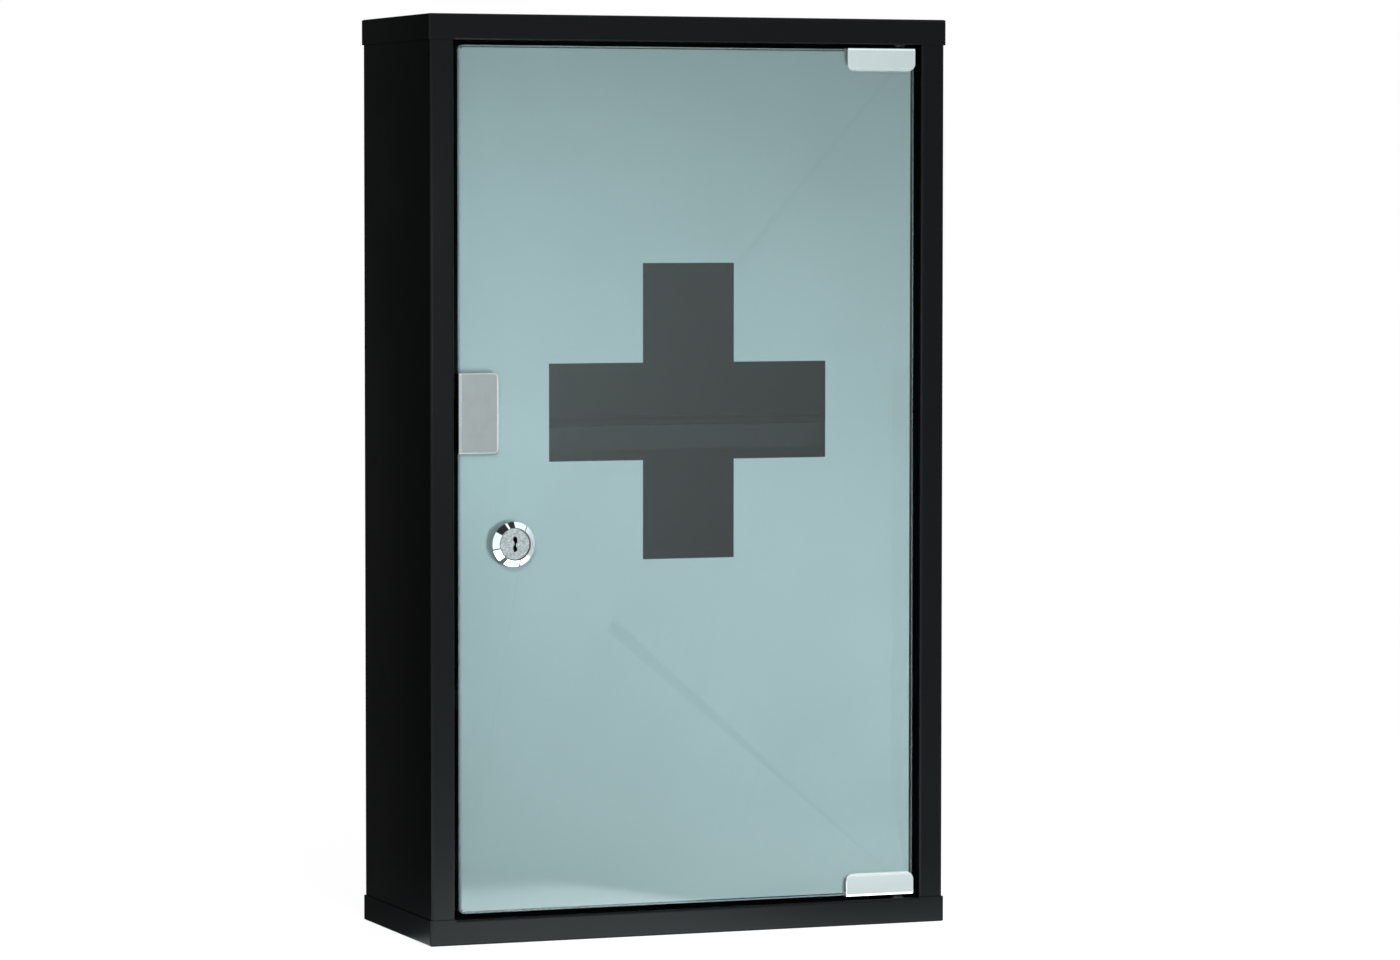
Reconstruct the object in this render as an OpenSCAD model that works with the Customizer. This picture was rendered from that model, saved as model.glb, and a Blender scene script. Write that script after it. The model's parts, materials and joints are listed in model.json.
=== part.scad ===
// Lockable wall cabinet for medicines: a folded sheet steel case with two fixed shelves and a
// frosted glass door. The door turns on two pivot clips, springs off a magnetic touch latch
// and is secured by a cam lock.
//
// Millimetres. X runs to the right, Z up, and the front faces -Y. The origin is on the wall
// plane, at the middle of the lower edge.

/* [Case] */
// Overall width
cabinet_w = 300; // [240:5:400]
// Overall depth, from the wall to the front of the caps
cabinet_d = 120; // [105:5:180]
// Overall height
cabinet_h = 500; // [450:5:700]
// Thickness of the sheet steel
sheet_t = 0.8; // [0.6:0.1:1.1]
// Outside radius of the folds
fold_r = 1.4; // [1.2:0.1:2]
// Height of the flange round each cap
cap_flange_h = 14; // [12:1:20]
// Depth of the lip that runs back under the front flange of each cap
cap_lip_d = 22; // [16:1:30]
// Width of the face beside the door, measured from the side of the cap
stile_w = 14.4; // [12:0.2:20]
// Depth of the fold behind that face
stile_return_d = 13.9; // [11:0.1:18]

/* [Wall fixing] */
// Distance between the two wall holes
wall_hole_spacing = 144; // [80:2:180]
// Height of the wall holes above the base
wall_hole_z = 442; // [400:1:445]
// Diameter of the wall holes
wall_hole_d = 7; // [4:0.5:10]

/* [Shelves] */
// Height of the top of the lower shelf
lower_shelf_z = 139.3; // [110:0.1:160]
// Height of the top of the upper shelf, which also carries the touch latch
upper_shelf_z = 278.6; // [262:0.1:310]
// Distance from the front of the cabinet back to the shelves
shelf_setback = 16; // [15:0.5:24]
// Height of the flange round each shelf
shelf_flange_h = 13.6; // [8:0.2:18]

/* [Glass door] */
// Thickness of the glass
glass_t = 4; // [3:0.5:6]
// Gap beside the glass
glass_side_gap = 3.6; // [3:0.1:6]
// Gap above and below the glass
glass_end_gap = 2.6; // [2.4:0.1:4]
// How far the front of the glass lies behind the faces beside it
glass_recess = 1.9; // [1.6:0.1:2.4]
// Radius of the corners of the glass
glass_corner_r = 2.5; // [1:0.5:6]
// Ground chamfer along the edges of the glass
glass_arris = 0.6; // [0.6:0.1:1]
// Thickness of the frosted coat
frost_t = 0.25; // [0.1:0.05:0.4]
// Clear border round the frosted coat
frost_margin = 1.2; // [0.8:0.1:4]

/* [Cross window] */
// Length of the arms, tip to tip
cross_span = 161; // [100:1:180]
// Width of each arm
cross_arm_w = 53; // [30:1:60]
// Height of the centre of the cross
cross_z = 286; // [250:1:350]

/* [Pivot clips] */
// Length of each clip along the edge of the glass
clip_l = 40; // [34:1:60]
// Height of the legs of each clip
clip_h = 12.2; // [11:0.2:18]
// Thickness of the clip metal
clip_t = 1; // [0.8:0.1:1.2]
// Outside radius of the folds of the clips
clip_fold_r = 2; // [1.8:0.1:2.2]
// Radius of the free corners of the clips
clip_corner_r = 2.8; // [1:0.2:4]
// Thickness of the clear liner between metal and glass
liner_t = 0.4; // [0.3:0.05:0.5]
// How far the liner shows past the metal
liner_proud = 1.2; // [0.6:0.1:3]
// Distance from the edge of the glass to the pivot
pivot_inset = 8.5; // [7:0.5:10]
// Diameter of the pivot pins
pivot_d = 4; // [3.4:0.1:4.2]
// Length of a pivot pin above its collar
pivot_l = 5.4; // [4:0.1:8]
// Radial play of the pivots and of the lock plug
running_gap = 0.05; // [0.02:0.01:0.1]

/* [Push plate] */
// Width of the plate
plate_w = 22.4; // [20:0.2:30]
// Height of the plate
plate_h = 43; // [40:1:60]
// Radius of the free corners of the plate
plate_corner_r = 2; // [0.5:0.5:4]
// How far its liner shows past the metal
plate_liner_proud = 0.8; // [0.4:0.1:1.2]

/* [Touch latch] */
// Width of the latch housing
latch_w = 14; // [13:0.5:18]
// Height of the latch housing
latch_h = 15.4; // [14.4:0.2:18]
// Length of the latch housing
latch_l = 46; // [42:1:60]
// Distance from the edge of the glass to the latch axis
latch_inset = 11; // [10:0.5:14]
// Diameter of the plunger
plunger_d = 8.6; // [8:0.1:9.4]
// Gap between the magnet and the back of the closed push plate
magnet_gap = 0.3; // [0.2:0.1:0.6]
// Pitch of the latch screws, across the latch
latch_screw_pitch = 21; // [20:0.5:23]

/* [Cam lock] */
// Distance from the edge of the glass to the lock axis
lock_inset = 30.2; // [28:0.2:40]
// Height of the lock axis
lock_z = 215.6; // [200:0.2:230]
// Diameter of the bezel
bezel_d = 24.2; // [23.4:0.2:28]
// How far the bezel stands off the glass
bezel_proud = 3.5; // [2.8:0.1:4]
// Diameter of the barrel
barrel_d = 18.6; // [18:0.2:19.4]
// Diameter of the plug's face
plug_face_d = 16.6; // [15:0.2:16.8]
// Reach of the cam from the lock axis
cam_reach = 39; // [37:0.5:41]
// Width of the cam
cam_w = 15; // [12:0.5:16]
// Thickness of the cam
cam_t = 1.8; // [1.2:0.1:2.4]
// Gap between the cam and the fold it catches behind
cam_gap = 0.4; // [0.3:0.1:1]

/* [Hidden] */
$fn = 48;
over = 1; // how far a cut runs past the face it opens

// Finishes
black_paint = "#23262a";
clear_glass = [0.75, 0.85, 0.85, 0.3];
frost = "#a9c4c4";
clear_plastic = [0.85, 0.9, 0.9, 0.6];
satin_nickel = "#b9bcbb";
chrome = "#d5d8da";
zinc = "#a7abab";
black_steel = "#2c2d2f";
black_plastic = "#1b1c1e";
rubber = "#2a2a2a";
magnet_grey = "#6c6f73";

// Directions in a profile
left = [-1, 0];
right = [1, 0];
up = [0, 1];
down = [0, -1];

// Case
case_front = -cabinet_d + sheet_t;          // face of the wrap, under the cap flanges
case_side = cabinet_w / 2 - sheet_t;
wrap_end_gap = fold_r + 0.1;                // keeps the wrap clear of the folds inside the caps
opening_x = cabinet_w / 2 - stile_w;        // half the width of the door opening
opening_z = [cap_flange_h, cabinet_h - cap_flange_h];
return_back = case_front + stile_return_d;
cap_corner_r = 1.2;
lip_end_gap = 0.3;
shelf_front = -cabinet_d + shelf_setback;
shelf_corner_r = 1.3;

// Door
glass_x = opening_x - glass_side_gap;       // half the width of the glass
glass_z = [opening_z[0] + glass_end_gap, opening_z[1] - glass_end_gap];
glass_front = case_front + glass_recess;
glass_back = glass_front + glass_t;
frost_back = glass_back + frost_t;
clamp_front = glass_front - liner_t - clip_t;   // outer faces of the folded clips
clamp_back = frost_back + liner_t + clip_t;
clip_rise = liner_t + clip_t;                   // from the edge of the glass to the face of a clip
liner_fold_r = clip_fold_r - clip_t;

// Pivots
pivot_x = glass_x - pivot_inset;
pivot_y = (glass_front + glass_back) / 2;
lip_gap = glass_end_gap - clip_rise;            // from the face of a clip to the cap lip
bush_flange_t = 0.6;
bush_flange_d = pivot_d + 4;
bush_d = pivot_d + 2;
bush_l = 5;
bush_barb = 0.2;
bush_barb_gap = 0.05;                           // from the sheet to the barb behind it
door_end_play = 0.1;                            // at each pivot
collar_d = pivot_d + 2;
collar_t = lip_gap - bush_flange_t - door_end_play;
pin_tail_d = 3;
pin_chamfer = 0.5;

// Grub screws in the back legs of the clips and of the push plate
grub_d = 4;
grub_l = 3.4;
grub_boss_d = 6.4;
grub_boss_t = 1.4;
grub_socket_af = 2;
grub_gap = 0.05;
clip_grub_inset = 9;                            // from each end of a clip
clip_grub_foot = 5;                             // from the free edge of its back leg
plate_grub_inset = 7.5;                         // from each end of the push plate
clip_grub_pitch = clip_l - 2 * clip_grub_inset;
plate_grub_pitch = plate_h - 2 * plate_grub_inset;

// Push plate and touch latch
latch_x = -glass_x + latch_inset;
latch_z = upper_shelf_z + latch_h / 2;
plate_left = -glass_x - clip_rise;
magnet_face = clamp_back + magnet_gap;
magnet_d = 7;
magnet_t = 3;
magnet_proud = 0.2;
latch_gap = 0.07;                               // radial play of the plunger
latch_front = shelf_front;
plunger_l = 25;
spigot_d = 4;
spigot_l = 5;
latch_end_wall = 5;
latch_bore_end = latch_front + latch_l - latch_end_wall;
nose_d = 12.4;
nose_l = 1.5;
ear_margin = 3.8;                               // from the screws out to the ends of the ears
ear_w = latch_screw_pitch + 2 * ear_margin;
ear_l = 16;
ear_t = 2.2;
ear_y = latch_front + latch_l / 2;
latch_screw_d = 3.2;
latch_screw_gap = 0.1;
latch_screw_head_d = 6.4;
latch_screw_head_t = 2;
latch_screw_l = 7;
latch_screw_point = 1.6;
spring_wire_d = 0.7;
spring_d = 7.4;
spring_turns = 7;
spring_rings = 14;                              // rings of the wire's skin a turn
spring_sides = 6;

// Cam lock; barrel_end and plug_end are depths behind the face of the glass
lock_x = -glass_x + lock_inset;
gasket_t = 0.5;
bezel_rim_t = 0.9;
bezel_face_d = plug_face_d + 3.2;
plug_sink = 0.25;
plug_chamfer = 0.3;
plug_head_l = 5;
plug_d = 12;
cam_front = return_back + cam_gap;              // row Y of the face of the cam
end_gap = 0.1;                                  // play along the axis, at each end of the plug
stop_washer_t = 1;
stop_washer_d = barrel_d - 0.6;
barrel_end = cam_front - stop_washer_t - end_gap - glass_front;
plug_end = cam_front + cam_t - end_gap - glass_front;
tail_af = 7;
tail_gap = 0.05;
barrel_flat_af = 16;
ring_gap = 0.1;                                 // radial, from the barrel to the rings on it
glass_hole_d = barrel_d + 0.8;
frost_hole_d = glass_hole_d + 1.6;
lock_washer_t = 0.8;
lock_washer_d = bezel_d + 1;
nut_af = barrel_d + 4.4;
nut_t = 3;
keyway_w = 2.4;
keyway_h = 8.6;
keyway_depth = 12.5;
keyway_end = keyway_depth + plug_sink - bezel_proud;    // depth behind the glass face
wafer_count = 5;
wafer_pitch = 1.5;
wafer_t = 0.8;
wafer_w = 4;
wafer_h = 11.6;
wafer_first = 2.2;                              // depth of the first wafer behind the glass face
wafer_gap = 0.05;
wafer_race_d = 14.4;                            // grooves in the barrel that the wafers spring into
wafer_race_gap = 0.2;
lock_turn = 90;
stop_tab_angle = 16;                            // arc of the tab on the stop washer
stop_gap_angle = 1;
stop_tab_l = 1.2;
stop_tab_gap = 0.2;
stop_ring_d = 14.6;                             // the tab runs outside this circle
cam_head_r = 7.4;
cam_tip_r = 3;
cam_washer_d = 10;
cam_washer_t = 0.8;
cam_screw_d = 4;
cam_screw_head_d = 8;
cam_screw_head_t = 2.4;
cam_hole_l = plug_end - keyway_end - 0.4;       // leaves a web between the keyway and the screw
cam_screw_l = cam_hole_l + end_gap + cam_washer_t - 0.5;
screw_gap = 0.05;

// ---- Profiles -------------------------------------------------------------------------

// A corner at p, turned from direction d0 to direction d1 with radius r
bend_steps = 6;
function bend(p, d0, d1, r) = r <= 0 ? [p] : [
    for (k = [0:bend_steps])
        let (a = 90 * k / bend_steps) p + r * (d1 * (1 - cos(a)) - d0 * (1 - sin(a)))
];

// A rectangle between two corners; radii run from the lower left corner clockwise
function plate_outline(lo, hi, r) = concat(
    bend(lo, left, up, r[0]),
    bend([lo.x, hi.y], up, right, r[1]),
    bend(hi, right, down, r[2]),
    bend([hi.x, lo.y], down, left, r[3])
);

// A strip of sheet, folded at right angles: path is its outer face, always turning right
function folded(path, t, r) = let (
    n = len(path),
    dir = [for (i = [0:n - 2]) (path[i + 1] - path[i]) / norm(path[i + 1] - path[i])],
    side = [for (d = dir) t * [d.y, -d.x]]
) concat(
    [path[0]],
    [for (i = [1:n - 2]) each bend(path[i], dir[i - 1], dir[i], r)],
    [path[n - 1], path[n - 1] + side[n - 2]],
    [for (i = [n - 2:-1:1]) each bend(path[i] + side[i - 1] + side[i], -dir[i], -dir[i - 1], r - t)],
    [path[0] + side[0]]
);

// Extrusions of a profile drawn in the plane of two axes
module along_x(x0, x1) { translate([x0, 0, 0]) rotate([90, 0, 90]) linear_extrude(x1 - x0) children(); }
module along_y(y0, y1) { translate([0, y1, 0]) rotate([90, 0, 0]) linear_extrude(y1 - y0) children(); }
module along_z(z0, z1) { translate([0, 0, z0]) linear_extrude(z1 - z0) children(); }

// Turned parts are drawn along Z, and then set along their own axis
module on_lock_axis() { translate([lock_x, glass_front, lock_z]) rotate([90, 0, 0]) children(); }
module on_latch_axis(y) { translate([latch_x, y, latch_z]) rotate([-90, 0, 0]) children(); }
module upside_down() { translate([0, 0, cabinet_h]) mirror([0, 0, 1]) children(); }

// A shallow tray folded from one sheet, open below, its top at z = 0
module folded_block(w, d, h, r, corner_r) {
    intersection() {
        along_y(-d / 2, d / 2) polygon(plate_outline([-w / 2, -h], [w / 2, 0], [0, r, r, 0]));
        along_x(-w / 2, w / 2) polygon(plate_outline([-d / 2, -h], [d / 2, 0], [0, r, r, 0]));
        along_z(-h, 0) polygon(plate_outline([-w, -d] / 2, [w, d] / 2, [for (i = [0:3]) corner_r]));
    }
}

module folded_tray(w, d, h, corner_r) {
    difference() {
        folded_block(w, d, h, fold_r, corner_r);
        translate([0, 0, -sheet_t])
            folded_block(w - 2 * sheet_t, d - 2 * sheet_t, h, fold_r - sheet_t, corner_r - sheet_t);
    }
}

// ---- Case -----------------------------------------------------------------------------

// Back, sides and the two faces beside the door, folded from one sheet
module body_wrap() {
    color(black_paint)
    difference() {
        along_z(wrap_end_gap, cabinet_h - wrap_end_gap) polygon(folded([
            [-opening_x, return_back], [-opening_x, case_front],
            [-case_side, case_front], [-case_side, -sheet_t],
            [case_side, -sheet_t], [case_side, case_front],
            [opening_x, case_front], [opening_x, return_back]
        ], sheet_t, fold_r));
        for (side = [-1, 1])
            translate([side * wall_hole_spacing / 2, over, wall_hole_z])
                rotate([90, 0, 0]) cylinder(d = wall_hole_d, h = 4 * sheet_t + over);
    }
}

// Cap over the upper end of the wrap, with the lip that carries the pivot bush
module cap() {
    lip_x = opening_x - lip_end_gap;
    lip_z = opening_z[1];
    seam_z = lip_z + 2 * fold_r;
    color(black_paint)
    difference() {
        union() {
            difference() {
                translate([0, -cabinet_d / 2, cabinet_h])
                    folded_tray(cabinet_w, cabinet_d, cap_flange_h, cap_corner_r);
                translate([-lip_x, -cabinet_d - over, lip_z - over])
                    cube([2 * lip_x, sheet_t + 2 * over, seam_z - lip_z + over]);
            }
            along_x(-lip_x, lip_x) polygon(folded([
                [-cabinet_d + cap_lip_d, lip_z], [-cabinet_d, lip_z], [-cabinet_d, seam_z]
            ], sheet_t, fold_r));
        }
        translate([pivot_x, pivot_y, lip_z - over]) cylinder(d = bush_d, h = sheet_t + 2 * over);
    }
}

module top_cap() cap();
module bottom_cap() upside_down() cap();

// Fixed shelf between the side walls, with its flange turned down
module shelf(top_z) {
    back = -2 * sheet_t;
    color(black_paint)
    translate([0, (shelf_front + back) / 2, top_z])
        folded_tray(2 * (case_side - sheet_t), back - shelf_front, shelf_flange_h, shelf_corner_r);
}

module upper_shelf() {
    color(black_paint)
    difference() {
        shelf(upper_shelf_z);
        at_latch_screws() translate([0, 0, -2 * sheet_t]) cylinder(d = latch_screw_d, h = 4 * sheet_t);
    }
}

module lower_shelf() shelf(lower_shelf_z);

// ---- Pivots ---------------------------------------------------------------------------

// Plastic bush, pushed into the cap lip from the door side; z = 0 is the face of the lip
module pivot_bush() {
    bore_r = pivot_d / 2 + running_gap;
    body_r = bush_d / 2;
    color(black_plastic)
    translate([pivot_x, pivot_y, opening_z[1]]) rotate_extrude() polygon([
        [bore_r, -bush_flange_t], [bush_flange_d / 2, -bush_flange_t], [bush_flange_d / 2, 0],
        [body_r, 0], [body_r, sheet_t + bush_barb_gap], [body_r + bush_barb, sheet_t + bush_barb_gap],
        [body_r - bush_barb, bush_l], [bore_r, bush_l]
    ]);
}

// Steel pin riveted into the end of a clip, with the collar that carries the door
module pivot_pin() {
    pin_r = pivot_d / 2;
    color(black_steel)
    translate([pivot_x, pivot_y, glass_z[1] + clip_rise]) rotate_extrude() polygon([
        [0, -clip_t], [pin_tail_d / 2, -clip_t], [pin_tail_d / 2, 0], [collar_d / 2, 0],
        [collar_d / 2, collar_t], [pin_r, collar_t], [pin_r, collar_t + pivot_l - pin_chamfer],
        [pin_r - pin_chamfer, collar_t + pivot_l], [0, collar_t + pivot_l]
    ]);
}

module pivot_bush_top() pivot_bush();
module pivot_bush_bottom() upside_down() pivot_bush();
module pivot_pin_top() pivot_pin();
module pivot_pin_bottom() upside_down() pivot_pin();

// ---- Clips on the glass ---------------------------------------------------------------

// A grub screw with a hexagonal socket; z = 0 is the end that presses on the liner
module grub_screw() {
    difference() {
        cylinder(d = grub_d - 2 * grub_gap, h = grub_l);
        translate([0, 0, grub_l / 2])
            cylinder(d = grub_socket_af / cos(30), h = grub_l, $fn = 6);
    }
}

module grub_boss() { translate([0, 0, clip_t / 2]) cylinder(d = grub_boss_d, h = grub_boss_t + clip_t / 2); }
module grub_hole() { translate([0, 0, -over]) cylinder(d = grub_d, h = grub_boss_t + clip_t + 2 * over); }

module at_clip_grubs() {
    for (side = [-1, 1])
        translate([glass_x - clip_l / 2 + side * clip_grub_pitch / 2, frost_back + liner_t,
                   glass_z[1] + clip_rise - clip_h + clip_grub_foot])
            rotate([-90, 0, 0]) children();
}

module at_plate_grubs() {
    for (side = [-1, 1])
        translate([latch_x, frost_back + liner_t, latch_z + side * plate_grub_pitch / 2])
            rotate([-90, 0, 0]) children();
}

// Pivot clip over the upper edge of the glass
module hinge_clip() {
    top = glass_z[1] + clip_rise;
    color(satin_nickel)
    difference() {
        union() {
            intersection() {
                along_x(glass_x - clip_l, glass_x) polygon(folded([
                    [clamp_front, top - clip_h], [clamp_front, top],
                    [clamp_back, top], [clamp_back, top - clip_h]
                ], clip_t, clip_fold_r));
                along_y(clamp_front - over, clamp_back + over) polygon(plate_outline(
                    [glass_x - clip_l, top - clip_h], [glass_x, top], [clip_corner_r, 0, 0, clip_corner_r]));
            }
            at_clip_grubs() grub_boss();
        }
        at_clip_grubs() grub_hole();
        translate([pivot_x, pivot_y, top - clip_t - over]) cylinder(d = pin_tail_d, h = clip_t + 2 * over);
    }
}

// Clear channel between a clip and the glass, rounded round the clip's corners
module clip_liner() {
    top = glass_z[1] + liner_t;
    foot = glass_z[1] + clip_rise - clip_h - liner_proud;
    corner_r = clip_corner_r + liner_proud;
    color(clear_plastic)
    intersection() {
        along_x(glass_x - clip_l, glass_x) polygon(folded([
            [glass_front - liner_t, foot], [glass_front - liner_t, top],
            [frost_back + liner_t, top], [frost_back + liner_t, foot]
        ], liner_t, liner_fold_r));
        along_y(clamp_front, clamp_back) polygon(plate_outline(
            [glass_x - clip_l, foot], [glass_x, top], [corner_r, 0, 0, corner_r]));
    }
}

module clip_grubs() at_clip_grubs() grub_screw();

module hinge_clip_top() hinge_clip();
module hinge_clip_bottom() upside_down() hinge_clip();
module clip_liner_top() clip_liner();
module clip_liner_bottom() upside_down() clip_liner();
module clip_screws() {
    color(zinc) {
        clip_grubs();
        upside_down() clip_grubs();
    }
}

// Push plate folded over the free edge of the glass; its back leg is the strike of the latch
module push_plate() {
    low = latch_z - plate_h / 2;
    high = latch_z + plate_h / 2;
    tip = plate_left + plate_w;
    color(satin_nickel)
    difference() {
        union() {
            intersection() {
                along_z(low, high) polygon(folded([
                    [tip, clamp_front], [plate_left, clamp_front],
                    [plate_left, clamp_back], [tip, clamp_back]
                ], clip_t, clip_fold_r));
                along_y(clamp_front - over, clamp_back + over) polygon(plate_outline(
                    [plate_left, low], [tip, high], [0, 0, plate_corner_r, plate_corner_r]));
            }
            at_plate_grubs() grub_boss();
        }
        at_plate_grubs() grub_hole();
    }
}

// Clear channel between the push plate and the glass
module push_plate_liner() {
    low = latch_z - plate_h / 2;
    high = latch_z + plate_h / 2;
    tip = plate_left + plate_w + plate_liner_proud;
    corner_r = plate_corner_r + plate_liner_proud;
    color(clear_plastic)
    intersection() {
        along_z(low, high) polygon(folded([
            [tip, glass_front - liner_t], [-glass_x - liner_t, glass_front - liner_t],
            [-glass_x - liner_t, frost_back + liner_t], [tip, frost_back + liner_t]
        ], liner_t, liner_fold_r));
        along_y(clamp_front, clamp_back) polygon(plate_outline(
            [-glass_x - liner_t, low], [tip, high], [0, 0, corner_r, corner_r]));
    }
}

module push_plate_screws() {
    color(zinc) at_plate_grubs() grub_screw();
}

// ---- Glass ----------------------------------------------------------------------------

// Door glass with ground edges, rounded corners and the hole for the lock
module door_glass() {
    a = glass_arris;
    color(clear_glass)
    difference() {
        intersection() {
            along_y(glass_front, glass_back) polygon(plate_outline(
                [-glass_x, glass_z[0]], [glass_x, glass_z[1]], [for (i = [0:3]) glass_corner_r]));
            along_x(-glass_x, glass_x) ground_section([glass_front, glass_z[0]], [glass_back, glass_z[1]], a);
            along_z(glass_z[0], glass_z[1]) ground_section([-glass_x, glass_front], [glass_x, glass_back], a);
        }
        on_lock_axis() translate([0, 0, -glass_t - over]) cylinder(d = glass_hole_d, h = glass_t + 2 * over);
    }
}

// A rectangle with its four corners chamfered
module ground_section(lo, hi, a) {
    polygon([
        [lo.x + a, lo.y], [lo.x, lo.y + a], [lo.x, hi.y - a], [lo.x + a, hi.y],
        [hi.x - a, hi.y], [hi.x, hi.y - a], [hi.x, lo.y + a], [hi.x - a, lo.y]
    ]);
}

// Frosted coat on the back of the glass, left clear in the shape of an upright cross
module frost_coat() {
    m = frost_margin;
    color(frost)
    difference() {
        along_y(glass_back, frost_back) difference() {
            polygon(plate_outline([-glass_x + m, glass_z[0] + m], [glass_x - m, glass_z[1] - m],
                                  [for (i = [0:3]) glass_corner_r]));
            translate([0, cross_z]) {
                square([cross_span, cross_arm_w], center = true);
                square([cross_arm_w, cross_span], center = true);
            }
        }
        on_lock_axis() translate([0, 0, -glass_t - 2 * over]) cylinder(d = frost_hole_d, h = 3 * over);
    }
}

// ---- Touch latch ----------------------------------------------------------------------

module at_latch_screws() {
    for (side = [-1, 1])
        translate([latch_x + side * latch_screw_pitch / 2, ear_y, upper_shelf_z]) children();
}

// Two crossed slots in the head of a screw
module cross_recess(span, w, h) {
    for (turn = [0, 90]) rotate(turn) translate([-span / 2, -w / 2, 0]) cube([span, w, h]);
}

// Housing on the upper shelf, with two ears for its screws
module latch_housing() {
    round_r = 1.5;
    color(black_plastic)
    difference() {
        union() {
            translate([latch_x, 0, upper_shelf_z]) along_y(latch_front, latch_front + latch_l)
                polygon(plate_outline([-latch_w / 2, 0], [latch_w / 2, latch_h], [0, round_r, round_r, 0]));
            translate([latch_x, ear_y, upper_shelf_z]) along_z(0, ear_t)
                polygon(plate_outline([-ear_w, -ear_l] / 2, [ear_w, ear_l] / 2, [for (i = [0:3]) 2 * round_r]));
            on_latch_axis(latch_front - nose_l) cylinder(d = nose_d, h = nose_l + over);
        }
        on_latch_axis(latch_front - nose_l - over)
            cylinder(d = plunger_d + 2 * latch_gap, h = latch_bore_end - latch_front + nose_l + over);
        at_latch_screws() translate([0, 0, -over])
            cylinder(d = latch_screw_d + 2 * latch_screw_gap, h = ear_t + 2 * over);
    }
}

// Two pan head screws, cut through the ears into the shelf
module latch_screws() {
    shank_r = latch_screw_d / 2;
    head_r = latch_screw_head_d / 2;
    color(zinc)
    at_latch_screws() translate([0, 0, ear_t]) difference() {
        rotate_extrude() polygon([
            [0, -latch_screw_l], [shank_r, latch_screw_point - latch_screw_l], [shank_r, 0], [head_r, 0],
            [head_r, latch_screw_head_t / 2], [head_r - 1, latch_screw_head_t], [0, latch_screw_head_t]
        ]);
        translate([0, 0, latch_screw_head_t - 1]) cross_recess(4, 0.8, 1 + over);
    }
}

// Plunger with a pocket for the magnet and a spigot for the spring
module latch_plunger() {
    tip = magnet_face + magnet_proud;
    color(black_plastic)
    on_latch_axis(tip) difference() {
        union() {
            cylinder(d = plunger_d, h = plunger_l);
            cylinder(d = spigot_d, h = plunger_l + spigot_l);
        }
        translate([0, 0, -over]) cylinder(d = magnet_d, h = magnet_t - magnet_proud + over);
    }
}

module latch_magnet() {
    color(magnet_grey) on_latch_axis(magnet_face) cylinder(d = magnet_d, h = magnet_t);
}

// Compression spring behind the plunger: a wire swept along a helix
module latch_spring() {
    start = magnet_face + magnet_proud + plunger_l + spring_wire_d / 2;
    run = latch_bore_end - spring_wire_d / 2 - start;
    coil_r = (spring_d - spring_wire_d) / 2;
    count = spring_turns * spring_rings;
    climb = atan(run / (spring_turns * 360) * 180 / PI / coil_r);
    points = [
        for (i = [0:count], k = [0:spring_sides - 1])
            let (a = 360 * i / spring_rings, b = 360 * k / spring_sides,
                 out = cos(b) * spring_wire_d / 2, lift = sin(b) * spring_wire_d / 2)
            [(coil_r + out) * cos(a) + lift * sin(a) * sin(climb),
             (coil_r + out) * sin(a) - lift * cos(a) * sin(climb),
             run * i / count + lift * cos(climb)]
    ];
    ring = function (i, k) i * spring_sides + k % spring_sides;
    skin = [
        for (i = [0:count - 1], k = [0:spring_sides - 1])
            each [[ring(i, k), ring(i + 1, k), ring(i + 1, k + 1)],
                  [ring(i, k), ring(i + 1, k + 1), ring(i, k + 1)]]
    ];
    ends = [
        for (k = [1:spring_sides - 2])
            each [[ring(0, 0), ring(0, k), ring(0, k + 1)],
                  [ring(count, 0), ring(count, k + 1), ring(count, k)]]
    ];
    color(chrome) on_latch_axis(start) polyhedron(points, concat(skin, ends));
}

// ---- Cam lock -------------------------------------------------------------------------

// Bezel and barrel in one piece, flattened on two sides
module lock_barrel() {
    barrel_r = barrel_d / 2;
    bezel_r = bezel_d / 2;
    half_gap = (lock_turn + stop_tab_angle) / 2 + stop_gap_angle;
    color(chrome)
    on_lock_axis() difference() {
        union() {
            rotate_extrude() polygon([
                [0, 0], [barrel_r - 1, 0], [barrel_r - 1, gasket_t], [bezel_r, gasket_t],
                [bezel_r, gasket_t + bezel_rim_t], [bezel_face_d / 2, bezel_proud], [0, bezel_proud]
            ]);
            intersection() {
                translate([0, 0, -barrel_end]) cylinder(d = barrel_d, h = barrel_end + gasket_t);
                translate([-barrel_flat_af / 2, -barrel_d, -barrel_end])
                    cube([barrel_flat_af, 2 * barrel_d, barrel_end + gasket_t]);
            }
        }
        // seat of the plug's face, bore of the plug, and grooves for the wafers
        translate([0, 0, bezel_proud - plug_sink - plug_head_l])
            cylinder(d = plug_face_d + 2 * running_gap, h = plug_head_l + plug_sink + over);
        translate([0, 0, -barrel_end - over])
            cylinder(d = plug_d + 2 * running_gap, h = barrel_end + bezel_proud + over);
        intersection() {
            translate([0, 0, -barrel_end - over]) cylinder(d = wafer_race_d, h = barrel_end - 2 * over);
            translate([-wafer_w / 2 - wafer_race_gap, -barrel_d, -barrel_end - over])
                cube([wafer_w + 2 * wafer_race_gap, 2 * barrel_d, barrel_end - 2 * over]);
        }
        // the recess that the tab of the stop washer sweeps
        translate([0, 0, -barrel_end - over]) linear_extrude(over + stop_tab_l + stop_tab_gap) difference() {
            sector(90 - half_gap, 90 + half_gap, barrel_d);
            circle(d = stop_ring_d);
        }
    }
}

// A pie slice between two angles
module sector(a0, a1, r) {
    steps = 8;
    arc = [for (k = [0:steps]) let (a = a0 + (a1 - a0) * k / steps) r * [cos(a), sin(a)]];
    polygon(concat([[0, 0]], arc));
}

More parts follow.
